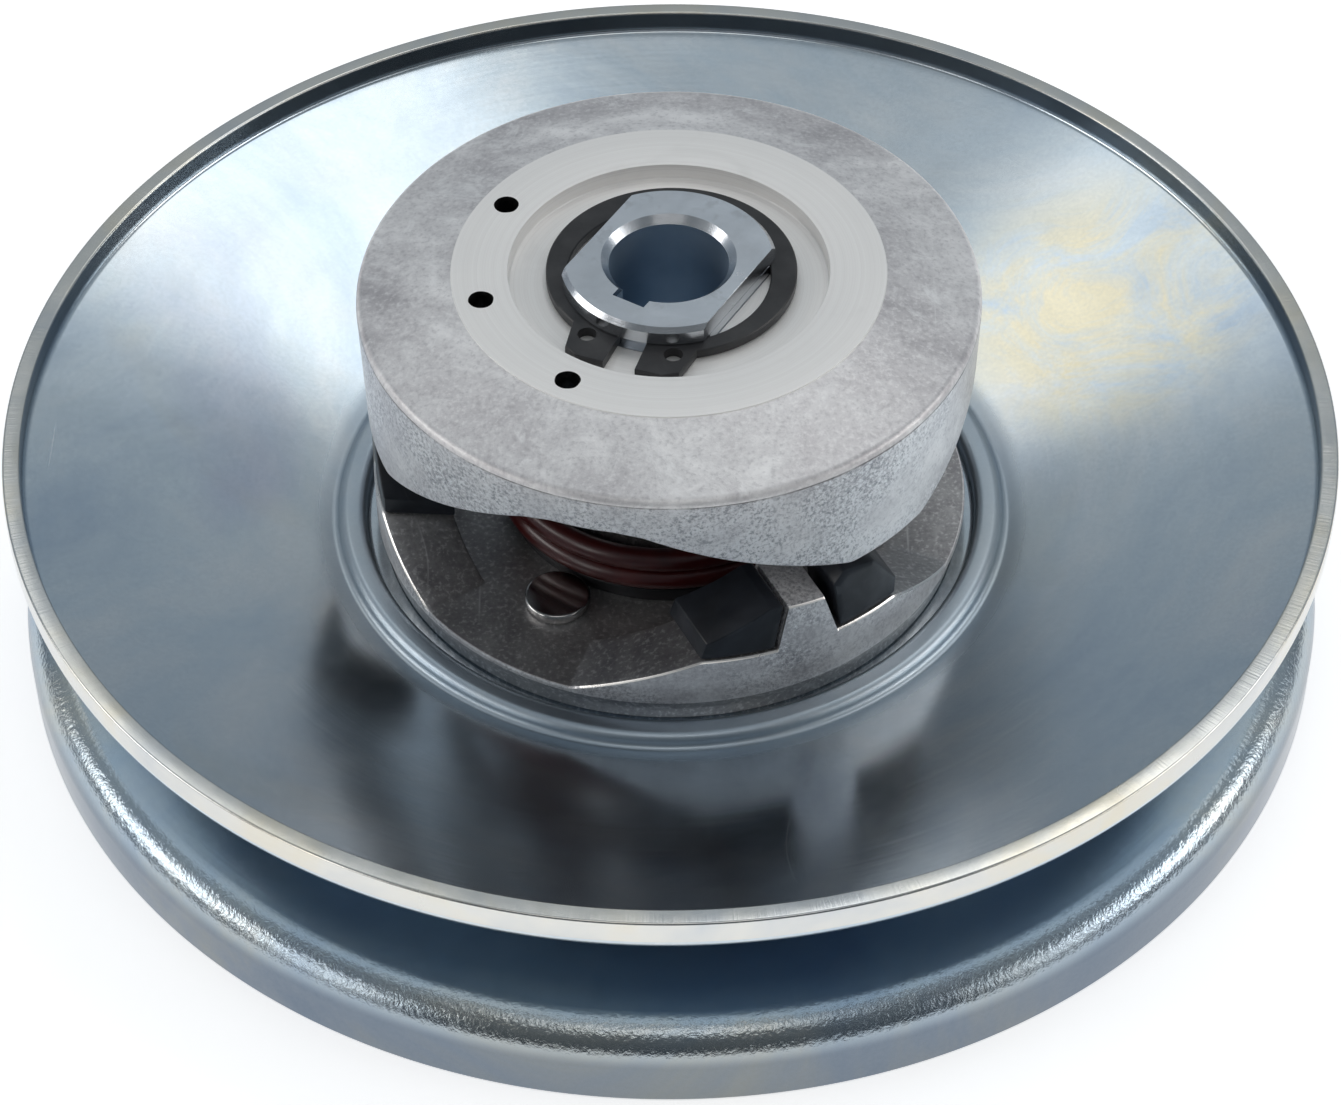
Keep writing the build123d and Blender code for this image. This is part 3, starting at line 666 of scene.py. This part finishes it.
pc = [FLAT_AZ + o + s * degrees(acos(FLAT_D / POST_R)) for o in (0, 180) for s in (-1, 1)]
kc = [KEY_AZ + s * degrees(atan2(KEY_HALF, KEY_R)) for s in (-1, 1)]
kc += [KEY_AZ + s * degrees(asin(KEY_HALF / r0)) for s in (-1, 1) for r0 in (BORE_R, BORE_R + 1.0)]
post_az = sorted(set([round((i * 1.0) % 360, 4) for i in range(360)] + [round(c % 360, 4) for c in pc + kc]))
post = lathe("post_turned", post_profile, [zinc_post, zinc_bore], azimuths=post_az, pick=post_zone, sharp=25)

# ----------------------------------------------------------------- circlip --
def clip_mesh():
    """Flat retaining ring: a strip of cross-sections from one lug round to the other, then two plier holes."""
    ca, ri, z0, z1, e = -110.0, 13.45, 57.85, 59.25, 0.16
    ox = 1.05

    def outer(d):
        a = radians(d)
        b = -ox * cos(a)
        return b + sqrt(b * b - ox * ox + 16.6 * 16.6)

    def on(d, r):
        return (r * cos(radians(ca + d)), r * sin(radians(ca + d)))
    lug_out = [(6.5, 19.3), (17.0, 20.0), (23.5, 19.6), (33.0, outer(33.0))]
    lug_in = [(8.2, ri), (17.0, ri), (23.5, ri), (33.0, ri)]
    stations = []
    for i in range(3):
        (a0, r0), (a1, r1) = lug_out[i], lug_out[i + 1]
        (b0, q0), (b1, q1) = lug_in[i], lug_in[i + 1]
        p0, p1 = on(a0, r0), on(a1, r1)
        for k in range(8):
            u = k / 8
            stations.append(((p0[0] + (p1[0] - p0[0]) * u, p0[1] + (p1[1] - p0[1]) * u), on(b0 + (b1 - b0) * u, ri)))
    n = 150
    for k in range(n + 1):
        d = 33.0 + (360 - 66.0) * k / n
        stations.append((on(d, outer(d)), on(d, ri)))
    mid = Vector((cos(radians(ca)), sin(radians(ca))))

    def mirror(p):
        v = Vector(p)
        return tuple(2 * v.dot(mid) * mid - v)
    stations += [(mirror(o), mirror(i)) for o, i in stations[:24][::-1]]
    verts, faces = [], []
    m = 8
    for o, i in stations:
        vo, vi = Vector(o), Vector(i)
        w = (vo - vi).normalized() * e
        for p, z in ((vi, z0 + e), (vi + w, z0), (vo - w, z0), (vo, z0 + e), (vo, z1 - e), (vo - w, z1), (vi + w, z1), (vi, z1 - e)):
            verts.append((p[0], p[1], z))
    ns = len(stations)
    for i in range(ns - 1):
        for k in range(m):
            l = (k + 1) % m
            faces.append((i * m + k, i * m + l, (i + 1) * m + l, (i + 1) * m + k))
    faces.append(tuple(range(m))[::-1])
    faces.append(tuple((ns - 1) * m + k for k in range(m)))
    out = mesh_object("circlip_ring", verts, faces, [clip_mat], sharp=35)
    import bmesh
    bm = bmesh.new()
    bm.from_mesh(out.data)
    bmesh.ops.recalc_face_normals(bm, faces=bm.faces)
    bm.to_mesh(out.data)
    bm.free()
    drills = []
    for sgn in (-1, 1):
        hx, hy = on(sgn * 21.75, 16.0)
        prof = [(0.001, z0 - 1), (1.25, z0 - 1), (1.25, z1 + 1), (0.001, z1 + 1)]
        drills.append(lathe(f"drill_{sgn + 1}", prof, [clip_mat], n=36, centre=(hx, hy)))
    cut(out, join_meshes("drills", drills))
    out.data.set_sharp_from_angle(angle=radians(35))
    return out


circlip = clip_mesh()

# ------------------------------------------------------------ movable cam --
WALL = [(-109.5, 20.6), (-84.5, 27.5), (-43.5, 26.8), (-23.0, 20.6), (10.5, 20.6)]
wall_top = smooth3(WALL, -109.5, 1.2)
TOWER = [(-4.5, 20.0), (-4.33, 27.2), (-2.93, 34.8), (2.37, 34.3), (4.68, 26.8), (4.9, 20.0)]


def ring_z(r, a):
    """Top of the ramp ring and towers at radius r and azimuth a."""
    z = wall_top(a)
    d = ((a - TOWER_AZ + 60) % 120) - 60
    t = r * sin(radians(d))
    if -4.5 < t < 4.9:
        z = max(z, interp(TOWER, t))
    return z


RADII = [31.5, 31.62, 31.9, 33, 34.5, 36, 37.5, 39, 40.1, 40.55, 40.72]


def mcam_profile(a):
    pts = [(18.25, 16.0), (39.7, 16.0), (40.0, 16.3), (40.0, 17.8), (40.3, 18.7), (40.8, 19.8)]
    zt = ring_z(40.8, a)
    pts += [(40.8, max(20.0, zt - 0.35)), (40.8, max(20.05, zt - 0.3))]
    for r in RADII[::-1]:
        drop = 0.25 if r in (40.72, 31.5) else (0.07 if r in (40.55, 31.62) else 0)
        pts.append((r, max(20.6, ring_z(r, a) - drop)))
    pts += [(31.45, 20.6), (31.0, 20.6), (19.4, 20.6), (19.4, 29.7), (19.1, 30.0), (18.25, 30.0)]
    return pts


dense = []
for c in (TOWER_AZ, TOWER_AZ + 120, TOWER_AZ + 240):
    dense += [c + i * 0.12 for i in range(-80, 81)]
mcam_az = sorted(set([round((i * 0.6) % 360, 4) for i in range(600)] + [round(d % 360, 4) for d in dense]))


def mcam_zone(r, z, a):
    # zone 2: the wall-top chamfer, in the bright material that paints its highlight
    if 40.6 < r < 40.79 and z > 20.9:
        return 2
    if r > 40.6:
        return 1
    d = ((a - TOWER_AZ + 60) % 120) - 60
    if z > 28.0:
        return 1
    # zone 0: the floor, in the darkened copy of the casting that paints the shade on it
    return 0


movable_cam = lathe("movable_cam_casting", mcam_profile, [cast_floor_painted_shade, cast_wall, chamfer_painted_highlight], azimuths=mcam_az, pick=mcam_zone, sharp=30)

# ----------------------------------------------------------------- rivets --
rivets = []
for i in range(3):
    a = radians(TOWER_AZ - 60 + 120 * i)
    c = (27.4 * cos(a), 27.4 * sin(a))
    prof = rounded([(0.001, 13.6, 0), (3.75, 13.6, 0.05), (2.4, 15.0, 0), (2.4, 20.62, 0), (4.35, 20.62, 0.2), (4.5, 21.4, 0.3), (4.42, 22.2, 0.42), (0.001, 22.26, 0)], 4)
    rivets.append(lathe(f"rivet_{i}", prof, [rivet_mat], n=48, centre=c))
cam_rivets = join_meshes("cam_rivet_heads", rivets)

# ---------------------------------------------------------- ramp inserts --
DRIVE = [(5.1, 27.1, 0.2), (3.8, 35.6, 0.5), (5.4, 37.4, 0.7), (10.3, 36.2, 0.7), (14.7, 29.7, 0.6), (14.6, 27.0, 0.2)]
COAST = [(-14.3, 27.65, 0.2), (-13.6, 30.4, 0.5), (-5.2, 35.2, 0.7), (-3.35, 35.4, 0.6), (-4.55, 27.45, 0.2)]


def ramp_limit(t, r):
    """Height of the drive ramp's surface, lowered by the working clearance, at a point of a drive block."""
    return 50.6 + (degrees(asin(t / r)) + TOWER_AZ + 95.0) * (38.0 - 50.6) / 41.3 - 0.6


def prism(name, outline, az, r0, r1, mat, ease=0.35, limit=None):
    """An outline in the plane square to azimuth az, filled between two cylinders, with eased edges."""
    pts = rounded(outline, 4)
    n = len(pts)
    # resample long sides so that the curved faces follow the cylinders
    dense_pts = []
    for i, (t, z) in enumerate(pts):
        u, w = pts[(i + 1) % n]
        d = hypot(u - t, w - z)
        m = max(1, int(d / 0.8))
        dense_pts += [(t + (u - t) * q / m, z + (w - z) * q / m) for q in range(m)]
    pts = dense_pts
    n = len(pts)
    cx, cz = sum(p[0] for p in pts) / n, sum(p[1] for p in pts) / n

    def inset(p, d):
        vx, vz = p[0] - cx, p[1] - cz
        l = hypot(vx, vz)
        return (cx + vx * (l - d) / l, cz + vz * (l - d) / l)
    rings = []
    for r, d in ((r0, ease * 1.0), (r0 + ease * 0.3, ease * 0.3), (r0 + ease, 0), ((r0 * 2 + r1) / 3, 0), ((r0 + r1 * 2) / 3, 0), (r1 - ease, 0), (r1 - ease * 0.3, ease * 0.3), (r1, ease * 1.0)):
        rings.append([(*inset(p, d), r) for p in pts])
    # caps: rings that shrink to the middle
    for share in (0.75, 0.5, 0.25):
        rings.insert(0, [(cx + (p[0] - cx) * share, cz + (p[1] - cz) * share, r0) for p in pts])
        rings.append([(cx + (p[0] - cx) * share, cz + (p[1] - cz) * share, r1) for p in pts])
    ca, sa = cos(radians(az)), sin(radians(az))
    verts = []
    for ring in rings:
        for t, z, r in ring:
            y = sqrt(r * r - t * t)
            if limit:
                z = min(z, limit(t, r))
            verts.append((y * ca - t * sa, y * sa + t * ca, z))
    faces = []
    for i in range(len(rings) - 1):
        for q in range(n):
            p = (q + 1) % n
            faces.append((i * n + q, i * n + p, (i + 1) * n + p, (i + 1) * n + q))
    for i, r in ((0, r0), (len(rings) - 1, r1)):
        y = sqrt(r * r - cx * cx)
        verts.append((y * ca - cx * sa, y * sa + cx * ca, cz))
        c = len(verts) - 1
        for q in range(n):
            p = (q + 1) % n
            faces.append((c, i * n + p, i * n + q) if i == 0 else (c, i * n + q, i * n + p))
    ob = mesh_object(name, verts, faces, [mat], sharp=28)
    return ob


inserts = {}
for i in range(3):
    az = TOWER_AZ + 120 * i
    inserts[f"drive_insert_{i + 1}"] = prism(f"ramp_block_drive_{i + 1}", DRIVE, az, 31.7, 40.5, plastic, limit=ramp_limit)
    inserts[f"coast_insert_{i + 1}"] = prism(f"ramp_block_coast_{i + 1}", COAST, az, 31.7, 40.5, plastic)

# ------------------------------------------------------------------ spring --
def tube(name, path, radius, mat, sides=20):
    verts, faces = [], []
    n = len(path)
    up = Vector((0, 0, 1))
    for i, p in enumerate(path):
        p = Vector(p)
        d = (Vector(path[min(i + 1, n - 1)]) - Vector(path[max(i - 1, 0)])).normalized()
        s = d.cross(up)
        s = s.normalized() if s.length > 1e-4 else Vector((1, 0, 0))
        u = s.cross(d).normalized()
        for q in range(sides):
            t = 2 * pi * q / sides
            v = p + (s * cos(t) + u * sin(t)) * radius
            verts.append(tuple(v))
    for i in range(n - 1):
        for q in range(sides):
            p = (q + 1) % sides
            faces.append((i * sides + q, (i + 1) * sides + q, (i + 1) * sides + p, i * sides + p))
    for i in (0, n - 1):
        verts.append(tuple(path[i]))
        c = len(verts) - 1
        for q in range(sides):
            p = (q + 1) % sides
            faces.append((c, i * sides + q, i * sides + p) if i == 0 else (c, i * sides + p, i * sides + q))
    return mesh_object(name, verts, faces, [mat], sharp=60)


WIRE, SPR_R = 3.2, 22.6
ZB, ZT = 22.75 + WIRE / 2, 54.35 - WIRE / 2


def coil_path():
    """Closed turns at both ends and open turns between."""
    z, a, out = ZB, -160.0, []
    lift = [(0.0, 0.0), (1.5, 3.3 * 1.5), (3.75, None), (4.75, None)]
    low, high = 3.3 * 1.5, (ZT - ZB) - 3.3
    total = 4.75
    N = 460
    for i in range(N + 1):
        t = total * i / N
        if t <= 1.5:
            h = 3.3 * t
        elif t >= 3.75:
            h = high + 3.3 * (t - 3.75)
        else:
            s = (t - 1.5) / 2.25
            lin = low + (high - low) * s
            h = lin
        out.append((t, h))
    # ease the change of pitch
    sm = []
    for i in range(N + 1):
        lo, hi = max(0, i - 9), min(N, i + 9)
        w = min(i - lo, hi - i)
        sm.append(sum(out[j][1] for j in range(i - w, i + w + 1)) / (2 * w + 1))
    return [(SPR_R * cos(radians(a + 360 * t)), SPR_R * sin(radians(a + 360 * t)), ZB + h) for (t, _), h in zip(out, sm)]


spring = tube("spring_coil", coil_path(), WIRE / 2, red)

spring_seat = lathe("spring_seat_ring", rounded([(19.55, 20.6, 0), (22.8, 20.6, 0.2), (22.8, 22.6, 0.3), (19.55, 22.6, 0.3)], 3), [nylon], n=128)

# --------------------------------------------------------------- the rest --
def paint(node, mat):
    o = nodes[node]
    o.data.materials.clear()
    o.data.materials.append(mat)


paint("hub_flange", zinc_hub)
paint("hub_rivets", zinc_hub)
paint("hub_sleeve", steel_sleeve)
paint("lower_bush", bronze_mat)
paint("upper_bush", bronze_mat)

for ob, body, names, sl in (
    (fixed_sheave, "hub", ["fixed_sheave"], "zinc_sheave_lower"), (movable_sheave, "movable", ["movable_sheave"], "zinc_sheave_upper"),
    (fixed_cam, "hub", ["fixed_cam"], "cast_aluminium"), (post, "hub", ["post"], "zinc_hub"), (circlip, "hub", ["circlip"], "black_oxide"),
    (movable_cam, "movable", ["movable_cam"], "cast_aluminium_lower"), (cam_rivets, "movable", ["cam_rivets"], "rivet_bright"),
    (spring_seat, "movable", ["spring_seat"], "black_nylon"), (spring, "spring", ["spring"], "red_spring"),
):
    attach(ob, body)
    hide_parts(*names)
for node, ob in inserts.items():
    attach(ob, "movable")
    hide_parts(node)
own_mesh(spring)

# ------------------------------------------------------------------ stage --
fm = Mat("floor_pale", (0.86, 0.86, 0.865), 0.0, 0.6)
fm.b.inputs["Emission Color"].default_value = (1.0, 1.0, 1.0, 1)
fm.b.inputs["Emission Strength"].default_value = 0.60
fm.base(fm.mix(fm.range(fm.noise(3, 3, 0.5), 0.3, 0.7), (0.85, 0.85, 0.855), (0.88, 0.88, 0.885)))
floor = mesh_object("floor", [(-3000, -3000, -0.02), (3000, -3000, -0.02), (3000, 3000, -0.02), (-3000, 3000, -0.02)], [(0, 1, 2, 3)], [fm.m], sharp=0)

scene = bpy.context.scene
world = bpy.data.worlds.new("studio")
scene.world = world
world.use_nodes = True
wt = world.node_tree
bg = wt.nodes["Background"]
wtc = wt.nodes.new("ShaderNodeTexCoord")
wsep = wt.nodes.new("ShaderNodeSeparateXYZ")
wt.links.new(wtc.outputs["Generated"], wsep.inputs[0])


def wnode(kind, **inputs):
    nd = wt.nodes.new(kind)
    for key, v in inputs.items():
        sock = nd.inputs[int(key[1:])]
        if hasattr(v, "links"):
            wt.links.new(v, sock)
        else:
            sock.default_value = v
    return nd


# a soft room: blue-grey overhead, brighter behind the object, dim on the side that faces it
high = wt.nodes.new("ShaderNodeValToRGB")
high.color_ramp.interpolation = "EASE"
stops = [(0.0, (0.30, 0.32, 0.35)), (0.12, (0.13, 0.16, 0.19)), (0.32, (0.27, 0.31, 0.35)), (0.62, (0.36, 0.40, 0.43)), (1.0, (0.46, 0.50, 0.53))]
for i, (p, c) in enumerate(stops):
    el = high.color_ramp.elements[i] if i < 2 else high.color_ramp.elements.new(p)
    el.position, el.color = p, (*c, 1)
wt.links.new(wsep.outputs[2], high.inputs["Fac"])
back = wt.nodes.new("ShaderNodeMapRange")
back.interpolation_type = "SMOOTHSTEP"
for i, v in ((1, -0.55), (2, 0.35), (3, 0.35), (4, 1.0)):
    back.inputs[i].default_value = v
wt.links.new(wsep.outputs[1], back.inputs[0])
mul = wt.nodes.new("ShaderNodeMix")
mul.data_type = "RGBA"
mul.blend_type = "MULTIPLY"
mul.inputs[0].default_value = 1.0
wt.links.new(high.outputs["Color"], mul.inputs[6])
wt.links.new(back.outputs[0], mul.inputs[7])
wt.links.new(mul.outputs[2], bg.inputs["Color"])
bg.inputs["Strength"].default_value = 1.0


def softbox(name, az, el, dist, size, radiance, color=(1, 1, 1)):
    loc = Vector((cos(radians(az)) * cos(radians(el)), sin(radians(az)) * cos(radians(el)), sin(radians(el)))) * dist
    li = bpy.data.lights.new(name, "AREA")
    li.shape = "RECTANGLE"
    li.size, li.size_y = size
    li.energy = radiance * pi * size[0] * size[1]
    li.color = color
    ob = bpy.data.objects.new(name, li)
    ob.location = loc
    ob.rotation_euler = (Vector((0, 0, 0.03)) - loc).to_track_quat("-Z", "Y").to_euler()
    scene.collection.objects.link(ob)
    return ob


softbox("box_back_right", 54, 62, 1.4, (0.75, 0.55), 1.38, (1.0, 0.985, 0.96))
softbox("box_back_left", 124, 54, 1.4, (0.50, 0.42), 0.86, (1.0, 0.985, 0.96))
softbox("box_right", -4, 25, 1.4, (0.8, 0.36), 3.7, (1.0, 0.97, 0.94))
softbox("box_left", 184, 25, 1.4, (0.8, 0.36), 3.7, (1.0, 0.97, 0.94))
softbox("box_front_right", -34, 22, 1.4, (0.34, 0.60), 1.4, (1.0, 0.98, 0.96))
softbox("box_front_left", -142, 22, 1.4, (0.34, 0.60), 2.2, (1.0, 0.98, 0.96))
softbox("box_front_top", -90, 62, 1.5, (0.9, 0.34), 1.3, (1.0, 0.97, 0.94))
scene.view_settings.view_transform = "Standard"

# ----------------------------------------------------------------- camera --
D, ELE, XT, ZT_, ROLL = 0.52057, 0.75171, 0.0000102, -0.0280807, -0.007313
lift = Vector((0, 0, 0.035))
C = Vector((0, -D * cos(ELE), D * sin(ELE))) + lift
T = Vector((XT, 0, ZT_)) + lift
fw = (T - C).normalized()
rt = fw.cross(Vector((0, 0, 1))).normalized()
up = rt.cross(fw)
rt2 = rt * cos(ROLL) + up * sin(ROLL)
up2 = -rt * sin(ROLL) + up * cos(ROLL)
cam_data = bpy.data.cameras.new("camera")
cam = bpy.data.objects.new("camera", cam_data)
scene.collection.objects.link(cam)
m = Matrix((rt2, up2, -fw)).transposed().to_4x4()
m.translation = C
cam.matrix_world = m
cam_data.sensor_width = 36.0
cam_data.lens = 36.0 * 3817.57 / 1342.0
cam_data.clip_start = 0.01
scene.camera = cam
